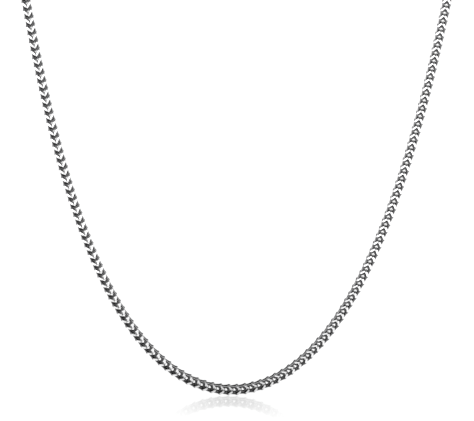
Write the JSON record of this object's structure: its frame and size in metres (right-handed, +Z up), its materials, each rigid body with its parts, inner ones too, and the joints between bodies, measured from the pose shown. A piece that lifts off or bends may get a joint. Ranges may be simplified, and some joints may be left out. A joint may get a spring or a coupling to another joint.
{
  "type": "franco chain necklace",
  "caption": "Polished steel franco chain necklace of interlocked V-shaped links, hanging in a long curve in front and closed behind the neck with a plain clasp.",
  "frame": {"origin": "middle of the wearer's neck, level with the chain behind it", "axes": "+Z up the neck, -Y towards the viewer in front, +X to the viewer's right"},
  "size_m": [0.1552, 0.0731, 0.1832],
  "materials": {
    "steel": "polished"
  },
  "bodies": {
    "root": {"chain_left": "steel", "chain_right": "steel", "end_ring_left": "steel", "end_ring_right": "steel", "clasp": "steel"}
  },
  "joints": []
}
